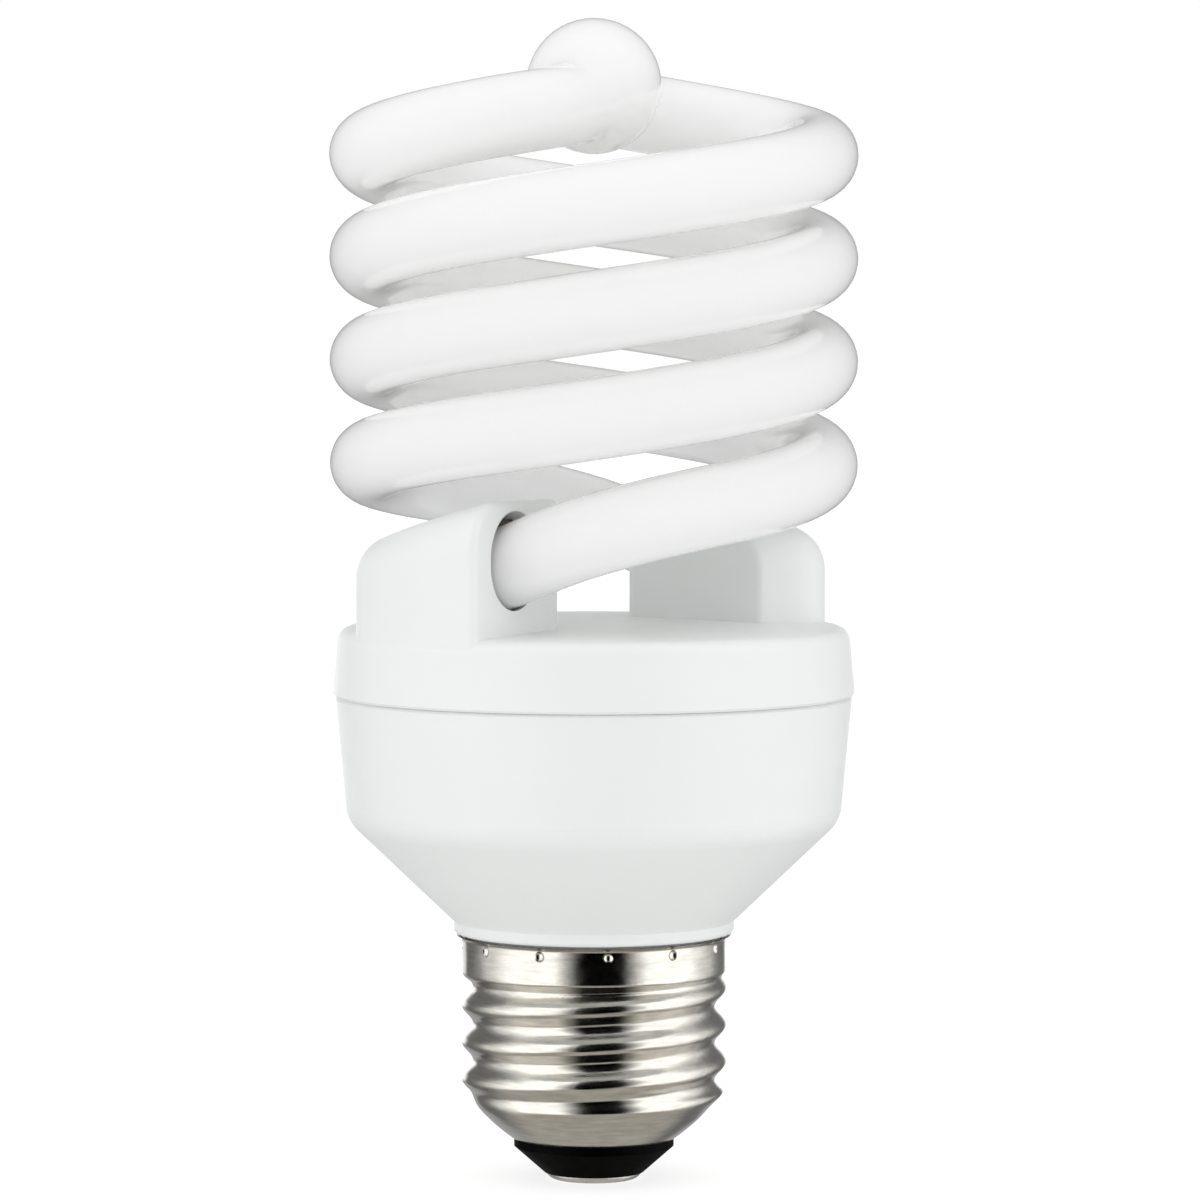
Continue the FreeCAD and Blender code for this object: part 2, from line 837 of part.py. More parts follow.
def make_drive_windings():
    """Windings of a few turns, each turn a closed loop of wire round the ring's section."""
    outer = drive_ring(drive_wire_fit + 2 * drive_wire_radius)
    inner = drive_ring(drive_wire_fit)
    reach = 2 * drive_outer_radius
    turns = []
    for group in range(drive_windings):
        for number in range(drive_turns):
            slab = box((reach, 2 * drive_wire_radius, 2 * reach), (0, -drive_wire_radius, -reach))
            loop = outer.common(slab).cut(inner)
            angle = 360 * group / drive_windings + (number - (drive_turns - 1) / 2) * drive_turn_pitch
            turns.append(turned(loop, angle))
    return placed(Part.makeCompound(turns), drive_spot)


def make_power_transistors():
    length, depth, height = transistor_size
    group = []
    for place in transistor_places:
        body = box((length, depth, height), (-length / 2, -depth / 2, -height))
        tab = box((length, transistor_tab, height), (-length / 2, -depth / 2 - transistor_tab, -height))
        hole = Part.makeCylinder(
            transistor_hole_radius, 2 * depth, Vector(0, -depth, -transistor_hole_depth), Vector(0, 1, 0))
        leads = [lead(pin * transistor_pitch, 0, on_board(place), lead_root) for pin in (-1, 0, 1)]
        group.append(placed(body.fuse(tab).cut(hole).fuse(leads), on_board(place)))
    return Part.makeCompound(group)


def axial_part(radius, length, spot):
    """A round body lying against the board, with a lead bent up at each end."""
    body = Part.makeCylinder(radius, length, Vector(-length / 2, 0, -radius), Vector(1, 0, 0))
    body = body.makeFillet(axial_end_round, [edge for edge in body.Edges if edge.Closed])
    reach = length / 2 + axial_lead_reach
    bar = Part.makeCylinder(lead_radius, 2 * reach, Vector(-reach, 0, -radius), Vector(1, 0, 0))
    ends = []
    for side in (-1, 1):
        ends.append(Part.makeSphere(lead_radius, Vector(side * reach, 0, -radius)))
        ends.append(lead(side * reach, 0, spot, radius))
    return placed(body.fuse([bar] + ends), spot)


def make_rectifier_diodes():
    x, y, turn = on_board(diode_place)
    first = y + (diode_count - 1) * diode_row_pitch / 2
    rows = [(x, first - row * diode_row_pitch, turn) for row in range(diode_count)]
    return Part.makeCompound([axial_part(diode_radius, diode_length, row) for row in rows])


def make_resistors():
    group = [axial_part(resistor_radius, resistor_length, on_board(place)) for place in resistor_places]
    return Part.makeCompound(group)


def make_fuse_resistor():
    return axial_part(fuse_radius, fuse_length, on_board(fuse_place))


def make_trigger_diode():
    return axial_part(trigger_radius, trigger_length, on_board(trigger_place))


def box_part(size, spot):
    """A dipped film capacitor: a rounded block on two leads."""
    length, depth, height = size
    body = box(size, (-length / 2, -depth / 2, -height))
    below = [edge for edge in body.Edges if edge.BoundBox.ZMin < -box_part_round]
    body = body.makeFillet(box_part_round, below)
    leads = [lead(side * box_lead_spacing / 2, 0, spot, lead_root) for side in (-1, 1)]
    return placed(body.fuse(leads), spot)


def make_resonant_capacitor():
    return box_part(resonant_size, on_board(resonant_place))


def make_coupling_capacitor():
    return box_part(coupling_size, on_board(coupling_place))


def make_line_inductor():
    """A drum core with its winding in the waist."""
    low = -inductor_height
    drum = revolved([
        (0, low),
        (inductor_radius, low),
        (inductor_radius, low + inductor_flange),
        (inductor_waist, low + inductor_flange),
        (inductor_waist, -inductor_flange),
        (inductor_radius, -inductor_flange),
        (inductor_radius, 0),
        (0, 0),
    ])
    leads = [lead(side * inductor_lead_spacing / 2, 0, inductor_spot, lead_root) for side in (-1, 1)]
    return placed(drum.fuse(leads), inductor_spot)


# Wires and the board


def post_points():
    """The wire posts of both legs, as points on the board."""
    points = [(x, y) for x, y, _ in post_spots]
    return points + [(-x, -y) for x, y in points]


def make_wire_posts():
    posts = []
    for x, y in post_points():
        board_holes.append((x, y, lead_hole_radius))
        corner = (x - post_size / 2, y - post_size / 2, board_top)
        pin = box((post_size, post_size, post_height), corner)
        tail = cylinder(lead_radius, board_thickness + lead_stub, (x, y, board_under - lead_stub))
        posts.append(pin.fuse(tail))
    return Part.makeCompound(posts)


def make_cathode_leads():
    """Two wires from the end of each leg, bent down on to the wire posts."""
    leads = []
    for (x, y, _), side in zip(post_spots, (1, -1)):
        post_top = Vector(x, y, board_top + post_height)
        start = leg_start + Vector(0, side * wire_spread, 0)
        out = start - leg_direction * wire_from_end
        above = post_top + Vector(0, 0, wire_drop)
        leads += pair(wire_run([start, out, above, post_top], wire_radius))
    return Part.makeCompound(leads)


def make_contact_lead():
    """A wire from the board down the neck to the top of the contact's stem."""
    x, y, _ = contact_lead_spot
    board_holes.append((x, y, mains_hole_radius))
    stem_top = Vector(0, 0, insulator_top + contact_stem_reach)
    tip = Vector(x, y, board_top + lead_stub)
    foot = Vector(x, y, bowl_top + thread_length / 2)
    return wire_run([tip, foot, stem_top + Vector(0, 0, wire_drop), stem_top], mains_wire_radius)


def make_shell_lead():
    """A wire from the board down the neck and out to the inside of the screw shell."""
    x, y, _ = shell_lead_spot
    board_holes.append((x, y, mains_hole_radius))
    level = stub_base - shell_lead_drop
    lowest = level - mains_wire_radius
    inside = shell_radius(lowest) - thread_depth(lowest) - shell_sheet - shell_lead_fit
    away = Vector(x, y, 0).normalize()
    tip = Vector(x, y, board_top + lead_stub)
    foot = Vector(x, y, level)
    return wire_run([tip, foot, away * inside + Vector(0, 0, level)], mains_wire_radius)


def make_circuit_board():
    """The board, with a hole for every lead that was set before it."""
    board = cylinder(board_radius, board_thickness, (0, 0, board_under))
    holes = [cylinder(radius, board_thickness, (x, y, board_under)) for x, y, radius in board_holes]
    return board.cut(holes)


def main():
    os.makedirs("parts", exist_ok=True)
    pieces = {
        "spiral_tube": make_spiral_tube,
        "tube_holder": make_tube_holder,
        "ballast_housing": make_ballast_housing,
        "screw_shell": make_screw_shell,
        "base_insulator": make_base_insulator,
        "centre_contact": make_centre_contact,
        "tube_cement": make_tube_cement,
        "bulk_capacitor": make_bulk_capacitor,
        "choke_core": make_choke_core,
        "choke_bobbin": make_choke_bobbin,
        "choke_winding": make_choke_winding,
        "drive_core": make_drive_core,
        "drive_windings": make_drive_windings,
        "power_transistors": make_power_transistors,
        "rectifier_diodes": make_rectifier_diodes,
        "resistors": make_resistors,
        "fuse_resistor": make_fuse_resistor,
        "trigger_diode": make_trigger_diode,
        "resonant_capacitor": make_resonant_capacitor,
        "coupling_capacitor": make_coupling_capacitor,
        "line_inductor": make_line_inductor,
        "wire_posts": make_wire_posts,
        "cathode_leads": make_cathode_leads,
        "contact_lead": make_contact_lead,
        "shell_lead": make_shell_lead,
        "circuit_board": make_circuit_board,
    }
    for name, make in pieces.items():
        shape = make()
        shape.exportStep("parts/" + name + ".step")
        print(name, len(shape.Solids), round(shape.Volume, 1), shape.isValid())


if __name__ == "__main__":
    main()
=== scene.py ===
"""Looks of a spiral energy saving bulb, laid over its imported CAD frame.

Sizes are written in millimetres and kept in metres, as everything in the scene is.
"""

from collections import namedtuple
from math import atan, atan2, cos, pi, radians, sin, sqrt, tan

import bmesh
import bpy
from mathutils import Matrix, Vector


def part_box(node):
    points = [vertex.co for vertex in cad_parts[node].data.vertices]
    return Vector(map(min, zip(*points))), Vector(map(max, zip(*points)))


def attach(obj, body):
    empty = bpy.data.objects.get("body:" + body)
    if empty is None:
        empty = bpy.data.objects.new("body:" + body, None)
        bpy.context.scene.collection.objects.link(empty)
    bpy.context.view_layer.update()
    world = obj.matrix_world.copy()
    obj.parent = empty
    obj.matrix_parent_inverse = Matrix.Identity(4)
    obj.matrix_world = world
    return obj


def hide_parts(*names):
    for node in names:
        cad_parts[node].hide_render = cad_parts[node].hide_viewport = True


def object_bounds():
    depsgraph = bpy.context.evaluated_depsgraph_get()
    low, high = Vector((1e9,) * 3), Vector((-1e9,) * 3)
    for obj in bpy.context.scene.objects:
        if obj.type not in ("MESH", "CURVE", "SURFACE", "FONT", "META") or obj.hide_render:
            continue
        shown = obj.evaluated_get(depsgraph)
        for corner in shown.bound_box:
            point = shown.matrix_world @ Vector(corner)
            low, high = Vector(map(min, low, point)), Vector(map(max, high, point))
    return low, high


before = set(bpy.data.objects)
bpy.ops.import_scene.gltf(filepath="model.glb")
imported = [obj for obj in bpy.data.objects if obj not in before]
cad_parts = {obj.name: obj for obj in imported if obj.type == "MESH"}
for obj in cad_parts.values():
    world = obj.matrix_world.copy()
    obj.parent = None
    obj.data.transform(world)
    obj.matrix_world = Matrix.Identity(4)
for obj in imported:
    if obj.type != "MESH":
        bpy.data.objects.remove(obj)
cad_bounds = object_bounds()

bl_info = {
    "name": "Spiral energy saving bulb",
    "version": (1, 0, 0),
    "blender": (4, 5, 0),
    "location": "View3D > Sidebar > Bulb",
    "description": "Dresses the frame of a spiral energy saving bulb and sets its studio",
    "category": "Object",
}

MM = 0.001
UP = Vector((0, 0, 1))
BODY = "root"
TUBE_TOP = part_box("spiral_tube")[1].z


# Sizes, colours and lights that a user would change


def linear(hex_colour):
    """An sRGB hex colour as the linear red, green and blue that shaders take."""
    channels = [int(hex_colour[place:place + 2], 16) / 255 for place in (1, 3, 5)]
    return tuple(c / 12.92 if c <= 0.04045 else ((c + 0.055) / 1.055) ** 2.4 for c in channels)


def length(label, text, millimetres):
    """A length, given in millimetres and kept in metres."""
    return bpy.props.FloatProperty(name=label, description=text, default=millimetres * MM, unit="LENGTH")


def angle(label, text, degrees):
    """An angle, given in degrees and kept in radians."""
    return bpy.props.FloatProperty(name=label, description=text, default=radians(degrees), subtype="ANGLE")


def number(label, text, value, unit="NONE"):
    """A plain number, such as a count of turns or the strength of a light."""
    return bpy.props.FloatProperty(name=label, description=text, default=value, unit=unit)


def colour(label, text, hex_colour):
    """A colour, given as sRGB hex and kept linear."""
    return bpy.props.FloatVectorProperty(
        name=label, description=text, default=linear(hex_colour), subtype="COLOR", size=3, min=0, max=1)


class BulbTube(bpy.types.PropertyGroup):
    """Sizes of the glass spiral."""

    tube_radius: length("Tube radius", "Outer radius of the glass tube", 3.9)
    helix_radius: length("Helix radius", "Radius of the middle line of the turns", 21.85)
    helix_pitch: length("Helix pitch", "Rise of one strand in a full turn", 20.1)
    helix_turns: number("Turns", "Turns of one strand between its bend and its crown", 1.657)
    leg_inset: length("Leg inset", "How far the straight legs lie inside the turns", 4.05)
    leg_reach: length("Leg reach", "How far a leg's end lies beyond the bulb's middle", 4.1)
    leg_slope: angle("Leg slope", "Climb of the legs", 20.0)
    bend_radius: length("Bend radius", "Radius of the bend from a leg into the turns", 15.0)
    crown_rise: length("Crown rise", "Rise of the arms that turn in over the top", 5.0)
    ball_radius: length("Ball radius", "Radius of the ball where the strands meet", 6.6)
    ball_lift: length("Ball lift", "How far the middle of the ball stands above the arms", 1.6)
    ball_lift_reach: length("Ball lift reach", "Length of an arm over which the ball is lifted", 8.0)
    flare_radius: length("Flare radius", "Hollow round between the ball and the tube", 4.0)


class BulbColours(bpy.types.PropertyGroup):
    """Colours of the finishes that show."""

    plastic: colour("Plastic", "Moulded housing and tube holder", "#EFF1F0")
    phosphor: colour("Phosphor", "White coat inside the glass", "#FFFFFE")
    nickel: colour("Nickel", "Plated screw shell", "#BFBCB5")
    insulator: colour("Insulator", "Cone under the shell", "#010101")
    tin: colour("Tin", "Tinned contact", "#D0CEC9")


class BulbStudio(bpy.types.PropertyGroup):
    """Camera and lights of the studio."""

    camera_turn: angle("Camera turn", "Turn of the camera round the bulb, from its front", 32.3)
    camera_distance: length("Camera distance", "Level distance from the bulb's axis to the camera", 580.0)
    camera_height: length("Camera height", "Height of the camera above the floor", 91.9)
    aim_height: length("Aim height", "Height of the point that the camera looks at", 56.9)
    aim_side: length("Aim side", "How far that point lies to the right of the axis", 0.6)
    camera_lens: number("Focal length", "Focal length of the camera", 178.2, unit="CAMERA")
    room_light: number("Room light", "Even light of the room on dull faces", 0.99)
    panel_light: number("Panel light", "Strength of the panels that metal and plastic mirror", 2.3)
    panel_turn: angle("Panel turn", "Turn of the panels past the camera's side", 6.0)
    gloss_light: number("Gloss light", "Strength of the dim room that clear glass mirrors", 0.22)
    lamp_power: number("Lamp power", "Power of each soft lamp in front of the bulb", 0.25, unit="POWER")


# Materials

# The two colours and the result of a Mix node that blends colours
MIX_FROM, MIX_TO, MIX_RESULT = 6, 7, 2
# Noise seldom leaves this range
NOISE_LOW, NOISE_HIGH = 0.3, 0.7


def add_node(tree, kind, inputs=None, **settings):
    """Adds a node with its settings, and sets or links its inputs."""
    node = tree.nodes.new(kind)
    for name, value in settings.items():
        setattr(node, name, value)
    for name, value in (inputs or {}).items():
        if isinstance(value, bpy.types.NodeSocket):
            tree.links.new(value, node.inputs[name])
        else:
            node.inputs[name].default_value = value
    return node


def clear_nodes(owner):
    """The empty node tree of a material or a world."""
    owner.use_nodes = True
    owner.node_tree.nodes.clear()
    return owner.node_tree


def start_material(name):
    """An empty material, its node tree and the object coordinates of what wears it."""
    material = bpy.data.materials.new(name)
    tree = clear_nodes(material)
    place = add_node(tree, "ShaderNodeTexCoord").outputs["Object"]
    return material, tree, place


def finish_material(material, sockets):
    """The material with a surface shader whose sockets are set or linked."""
    tree = material.node_tree
    shader = add_node(tree, "ShaderNodeBsdfPrincipled", sockets)
    add_node(tree, "ShaderNodeOutputMaterial", {"Surface": shader.outputs["BSDF"]})
    return material


def repeats(millimetres):
    """Scale of a pattern on coordinates in metres whose features are this wide."""
    return 1 / (millimetres * MM)


def mottled(tree, place, width, low, high, detail=3.0):
    """Noise of that width in millimetres, spread between two values."""
    noise = add_node(tree, "ShaderNodeTexNoise", {
        "Vector": place, "Scale": repeats(width), "Detail": detail})
    spread = add_node(tree, "ShaderNodeMapRange", {
        "Value": noise.outputs["Fac"],
        "From Min": NOISE_LOW,
        "From Max": NOISE_HIGH,
        "To Min": low,
        "To Max": high,
    })
    return spread.outputs["Result"]


def tinted(tree, place, width, base, shade):
    """The base colour, darkened to a share of itself in patches of that width in millimetres."""
    dark = [channel * shade for channel in base]
    mix = add_node(tree, "ShaderNodeMix", {
        "Factor": mottled(tree, place, width, low=0.0, high=1.0),
        MIX_FROM: (*base, 1),
        MIX_TO: (*dark, 1),
    }, data_type="RGBA")
    return mix.outputs[MIX_RESULT]


def bumpy(tree, place, width, depth, detail, strength):
    """Normals of a face with bumps of that width and depth in millimetres."""
    noise = add_node(tree, "ShaderNodeTexNoise", {
        "Vector": place, "Scale": repeats(width), "Detail": detail})
    bump = add_node(tree, "ShaderNodeBump", {
        "Height": noise.outputs["Fac"], "Strength": strength, "Distance": depth * MM})
    return bump.outputs["Normal"]


def moulded_plastic(base):
    """Moulded polyester: a satin white with a fine spark-eroded grain that softens its highlights.

    The grain is drawn coarser than the real one, so that it shows.
    """
    material, tree, place = start_material("moulded_polyester_satin")
    return finish_material(material, {
        "Base Color": tinted(tree, place, width=9.0, base=base, shade=0.985),
        "Roughness": mottled(tree, place, width=4.0, low=0.36, high=0.44),
        "Normal": bumpy(tree, place, width=0.25, depth=0.05, detail=2.0, strength=0.05),
        "IOR": 1.55,
        "Specular IOR Level": 0.25,
    })


def coated_glass(base):
    """Drawn glass tube with a white phosphor inside: a chalky body under a clear, sharp gloss.

    Light soaks in and spreads through the body, so the tube looks flat and bright, and only the gloss
    draws a thin rim along its edges.
    """
    material, tree, place = start_material("drawn_glass_over_phosphor")
    return finish_material(material, {
        "Base Color": tinted(tree, place, width=14.0, base=base, shade=0.99),
        "Roughness": mottled(tree, place, width=3.0, low=0.5, high=0.62),
        "IOR": 1.3,
        "Specular IOR Level": 0.0,
        "Subsurface Weight": 1.0,
        "Subsurface Radius": (1.0, 1.0, 1.0),
        "Subsurface Scale": 12.0 * MM,
        "Coat Weight": 1.0,
        "Coat Roughness": 0.0,
        "Coat IOR": 1.52,
    })


def plated_nickel(base):
    """Nickel plate on rolled brass: a warm mirror with cloudy patches and fine marks of rolling.

    The marks are drawn coarser than real ones, so that they show.
    """
    material, tree, place = start_material("rolled_brass_nickel_plated")
    # Rolling draws the marks out around the shell
    drawn = add_node(tree, "ShaderNodeMapping", {"Vector": place, "Scale": (1, 1, 6)}).outputs["Vector"]
    return finish_material(material, {
        "Base Color": tinted(tree, drawn, width=2.2, base=base, shade=0.78),
        "Metallic": 1.0,
        "Roughness": mottled(tree, place, width=2.4, low=0.1, high=0.2, detail=5.0),
        "Normal": bumpy(tree, drawn, width=0.9, depth=0.02, detail=4.0, strength=0.25),
    })


def black_insulator(base):
    """Moulded black phenolic: smooth and deep, with hardly any shine."""
    material, tree, place = start_material("moulded_phenolic_black")
    return finish_material(material, {
        "Base Color": tinted(tree, place, width=2.0, base=base, shade=0.7),
        "Roughness": mottled(tree, place, width=1.5, low=0.45, high=0.6),
        "IOR": 1.5,
        "Specular IOR Level": 0.02,
    })


def tinned_contact(base):
    """Tinned brass: soft grey metal with the ripples of set solder."""
    material, tree, place = start_material("pressed_brass_tinned")
    return finish_material(material, {
        "Base Color": tinted(tree, place, width=1.5, base=base, shade=0.85),
        "Metallic": 1.0,
        "Roughness": mottled(tree, place, width=1.0, low=0.22, high=0.4),
        "Normal": bumpy(tree, place, width=2.5, depth=0.1, detail=2.0, strength=0.3),
    })


def inner_finish(name, base, roughness, metallic):
    """A finish for a piece inside the housing: its colour and gloss, with faint patches of handling."""
    material, tree, place = start_material(name)
    smooth, rough = roughness * 0.85, min(roughness * 1.15, 1.0)
    return finish_material(material, {
        "Base Color": tinted(tree, place, width=1.0, base=base, shade=0.85),
        "Metallic": metallic,
        "Roughness": mottled(tree, place, width=0.8, low=smooth, high=rough),
    })


def wear(node, material):
    """Gives a CAD node one material all over."""
    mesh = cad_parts[node].data
    mesh.materials.clear()
    mesh.materials.append(material)


# Pieces of the bulb


def outward(turn, tilt=0.0):
    """The way out from the bulb's axis at a turn from its front and a tilt above level."""
    return Vector((sin(turn) * cos(tilt), -cos(turn) * cos(tilt), sin(tilt)))


def add_mesh(name, bm, material):
    """A finished mesh as an object of the scene, with its place in its mesh."""
    mesh = bpy.data.meshes.new(name)
    bm.to_mesh(mesh)
    bm.free()
    mesh.materials.append(material)
    piece = bpy.data.objects.new(name, mesh)
    bpy.context.scene.collection.objects.link(piece)
    return piece


Ring = namedtuple("Ring", "point heading slope radius")


def ring_place(ring):
    """Where a ring lies: across a course with its heading and slope."""
    tip = Matrix.Rotation(pi / 2 - atan(ring.slope), 4, "Y")
    return Matrix.Translation(ring.point) @ Matrix.Rotation(ring.heading, 4, "Z") @ tip


class StrandCourse:
    """The rings of one strand of glass: a leg, a bend, the turns and an arm of the crown."""

    leg_steps = 6
    bend_steps = 20
    helix_steps = 160
    crown_steps = 72

    def __init__(self, sizes):
        self.sizes = sizes
        self.leg_offset = sizes.helix_radius - sizes.leg_inset
        self.leg_climb = tan(sizes.leg_slope)
        self.bend_side = sizes.bend_radius - self.leg_offset
        self.bend_x = sqrt((sizes.helix_radius - sizes.bend_radius) ** 2 - self.bend_side ** 2)
        self.bend_turn = atan2(self.bend_side, self.bend_x) + pi / 2
        self.bend_length = sizes.bend_radius * self.bend_turn
        self.helix_climb = sizes.helix_pitch / (2 * pi * sizes.helix_radius)
        self.helix_turn = sizes.helix_turns * 2 * pi
        self.helix_length = sizes.helix_radius * self.helix_turn
        self.crown_radius = sizes.helix_radius / 2
        self.crown_length = pi * self.crown_radius
        # Levels are worked out from the top of the ball downwards
        self.crown_level = TUBE_TOP - sizes.ball_radius - sizes.ball_lift - sizes.crown_rise
        self.helix_level = self.crown_level - self.helix_length * self.helix_climb
        self.bend_level = self.helix_level - self.bend_length * (self.leg_climb + self.helix_climb) / 2

    def rings(self):
        """All rings, from the end of the leg to the middle of the ball."""
        return [*self.leg(), *self.bend(), *self.helix(), *self.crown()]

    def leg(self):
        """The straight end in the hood."""
        leg_length = self.bend_x + self.sizes.leg_reach
        for step in range(self.leg_steps):
            along = leg_length * (step / self.leg_steps - 1)
            level = self.bend_level + along * self.leg_climb
            point = Vector((self.bend_x + along, -self.leg_offset, level))
            yield Ring(point, 0.0, self.leg_climb, self.sizes.tube_radius)

    def bend(self):
        """The tighter round from the leg into the turns, whose climb eases from one to the other."""
        for step in range(self.bend_steps):
            share = step / self.bend_steps
            heading = self.bend_turn * share
            slope = self.leg_climb + (self.helix_climb - self.leg_climb) * share
            level = self.bend_level + self.bend_length * share * (self.leg_climb + slope) / 2
            middle = Vector((self.bend_x, self.bend_side, level))
            point = middle + outward(heading) * self.sizes.bend_radius
            yield Ring(point, heading, slope, self.sizes.tube_radius)

    def helix(self):
        """The even turns."""
        for step in range(self.helix_steps):
            share = step / self.helix_steps
            heading = self.bend_turn + self.helix_turn * share
            level = self.helix_level + self.helix_length * share * self.helix_climb
            point = outward(heading) * self.sizes.helix_radius + UP * level
            yield Ring(point, heading, self.helix_climb, self.sizes.tube_radius)

    def crown(self):
        """The arm that turns in over the top and swells into its half of the ball."""
        turn_in = self.bend_turn + self.helix_turn
        middle = outward(turn_in) * self.crown_radius
        for step in range(self.crown_steps + 1):
            share = step / self.crown_steps
            to_ball = self.crown_length * (1 - share)
            arm_rise, arm_slope = self.arm_climb(share)
            ball_rise, ball_slope = self.ball_climb(to_ball)
            heading = turn_in + pi * share
            level = self.crown_level + arm_rise + ball_rise
            point = middle + outward(heading) * self.crown_radius + UP * level
            yield Ring(point, heading, arm_slope + ball_slope, self.radius_near_ball(to_ball))

    def arm_climb(self, share):
        """Rise and slope at a share of an arm, which leaves with the climb of the turns and ends level."""
        first = self.helix_climb * self.crown_length
        second = 3 * self.sizes.crown_rise - 2 * first
        third = first - 2 * self.sizes.crown_rise
        rise = first * share + second * share ** 2 + third * share ** 3
        slope = (first + 2 * second * share + 3 * third * share ** 2) / self.crown_length
        return rise, slope

    def ball_climb(self, to_ball):
        """Rise and slope that lift the ball, at a distance from its middle along the arm."""
        share = max(1 - to_ball / self.sizes.ball_lift_reach, 0)
        rise = self.sizes.ball_lift * share ** 2 * (3 - 2 * share)
        slope = self.sizes.ball_lift * 6 * share * (1 - share) / self.sizes.ball_lift_reach
        return rise, slope

    def radius_near_ball(self, to_ball):
        """Radius of the glass: a round ball, a hollow flare that touches it, then the tube."""
        ball, tube, flare = self.sizes.ball_radius, self.sizes.tube_radius, self.sizes.flare_radius
        flare_end = sqrt((ball + flare) ** 2 - (tube + flare) ** 2)
        flare_start = flare_end * ball / (ball + flare)
        if to_ball < flare_start:
            return sqrt(ball ** 2 - to_ball ** 2)
        if to_ball < flare_end:
            return tube + flare - sqrt(flare ** 2 - (flare_end - to_ball) ** 2)
        return tube


class BULB_OT_glass_tube(bpy.types.Operator):
    """Draws the glass spiral from ring to ring up one strand, then turns a twin of it half round"""

    bl_idname = "bulb.glass_tube"
    bl_label = "Glass tube"

    round_segments = 48
    merge_distance = 0.01 * MM

    def execute(self, context):
        rings = StrandCourse(context.scene.bulb_tube).rings()
        bm = bmesh.new()
        bmesh.ops.create_circle(bm, cap_ends=True, segments=self.round_segments, radius=rings[0].radius)
        bmesh.ops.transform(bm, matrix=ring_place(rings[0]), verts=bm.verts)
        edges = bm.edges[:]
        for last, new in zip(rings, rings[1:]):
            grow = Matrix.Scale(new.radius / last.radius, 4)
            edges = self.draw_on(bm, edges, ring_place(new) @ grow @ ring_place(last).inverted())
        twin = bmesh.ops.duplicate(bm, geom=bm.verts[:] + bm.edges[:] + bm.faces[:])["geom"]
        twin_verts = [item for item in twin if isinstance(item, bmesh.types.BMVert)]
        bmesh.ops.rotate(bm, cent=Vector(), matrix=Matrix.Rotation(pi, 3, "Z"), verts=twin_verts)
        bmesh.ops.remove_doubles(bm, verts=bm.verts, dist=self.merge_distance)
        bmesh.ops.recalc_face_normals(bm, faces=bm.faces)
        for face in bm.faces:
            face.smooth = True
        tube = add_mesh("glass_tube", bm, coated_glass(context.scene.bulb_colours.phosphor))
        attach(tube, BODY)
        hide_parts("spiral_tube")
        return {"FINISHED"}

    @staticmethod
    def draw_on(bm, edges, move):
        """Draws a ring of edges on to a new place, and returns the new ring."""
        drawn = bmesh.ops.extrude_edge_only(bm, edges=edges)["geom"]
        verts = [item for item in drawn if isinstance(item, bmesh.types.BMVert)]
        bmesh.ops.transform(bm, matrix=move, verts=verts)
        return [item for item in drawn if isinstance(item, bmesh.types.BMEdge) and not item.is_contiguous]


class BULB_OT_shells(bpy.types.Operator):
    """Finishes the moulded housing and the tube holder"""

    bl_idname = "bulb.shells"
    bl_label = "Moulded shells"

    def execute(self, context):
        plastic = moulded_plastic(context.scene.bulb_colours.plastic)
        for node in ("ballast_housing", "tube_holder"):
            wear(node, plastic)
        return {"FINISHED"}


class BULB_OT_screw_base(bpy.types.Operator):
    """Finishes the screw shell, the insulator and the contact"""

    bl_idname = "bulb.screw_base"
    bl_label = "Screw base"

    def execute(self, context):
        colours = context.scene.bulb_colours
        wear("screw_shell", plated_nickel(colours.nickel))
        wear("base_insulator", black_insulator(colours.insulator))
        wear("centre_contact", tinned_contact(colours.tin))
        return {"FINISHED"}


class BULB_OT_ballast(bpy.types.Operator):
    """Finishes the pieces inside the housing"""

    bl_idname = "bulb.ballast"
    bl_label = "Ballast"

    # Colour, roughness, metallic and nodes of each material
    finishes = {
        "sintered_ferrite": ("#2A2A2C", 0.6, 0.0, ("choke_core", "drive_core", "line_inductor")),
        "enamelled_copper_wire": ("#B9663A", 0.35, 1.0, ("choke_winding", "drive_windings")),
        "moulded_nylon_bobbin": ("#1E1E1E", 0.5, 0.0, ("choke_bobbin",)),
        "moulded_epoxy_black": ("#19191B", 0.45, 0.0, ("power_transistors", "rectifier_diodes")),
        "pressed_paper_laminate": ("#B08A4E", 0.6, 0.0, ("circuit_board",)),
        "shrunk_sleeve_dark": ("#1C2230", 0.3, 0.0, ("bulk_capacitor",)),
        "dipped_epoxy_red": ("#8E2A17", 0.3, 0.0, ("resonant_capacitor", "coupling_capacitor")),
        "lacquered_resistor": ("#C9AE7C", 0.4, 0.0, ("resistors",)),
        "flameproof_coat": ("#7F8F7B", 0.7, 0.0, ("fuse_resistor",)),
        "lacquered_glass_bead": ("#35559E", 0.25, 0.0, ("trigger_diode",)),
        "drawn_tinned_wire": ("#CFCCC6", 0.3, 1.0, ("wire_posts", "cathode_leads")),
        "extruded_vinyl_sleeve": ("#DADAD4", 0.45, 0.0, ("contact_lead", "shell_lead")),
        # The cement's dark brown is partly its own colour and partly painted shade, which darkens the gap
        # where the glass enters the hood
        "cast_cement_with_painted_shade": ("#6E6553", 0.9, 0.0, ("tube_cement",)),
    }

    def execute(self, context):
        for name, (hex_colour, roughness, metallic, nodes) in self.finishes.items():
            material = inner_finish(name, linear(hex_colour), roughness, metallic)
            for node in nodes:
                wear(node, material)
        return {"FINISHED"}


# Studio

WHITE = (1, 1, 1, 1)
BLACK = (0, 0, 0, 1)


def facing(place, aim):
    """A place that looks at a point, as lamps and cameras look along their own -Z."""
    return Matrix.Translation(place) @ (aim - place).to_track_quat("-Z", "Y").to_matrix().to_4x4()


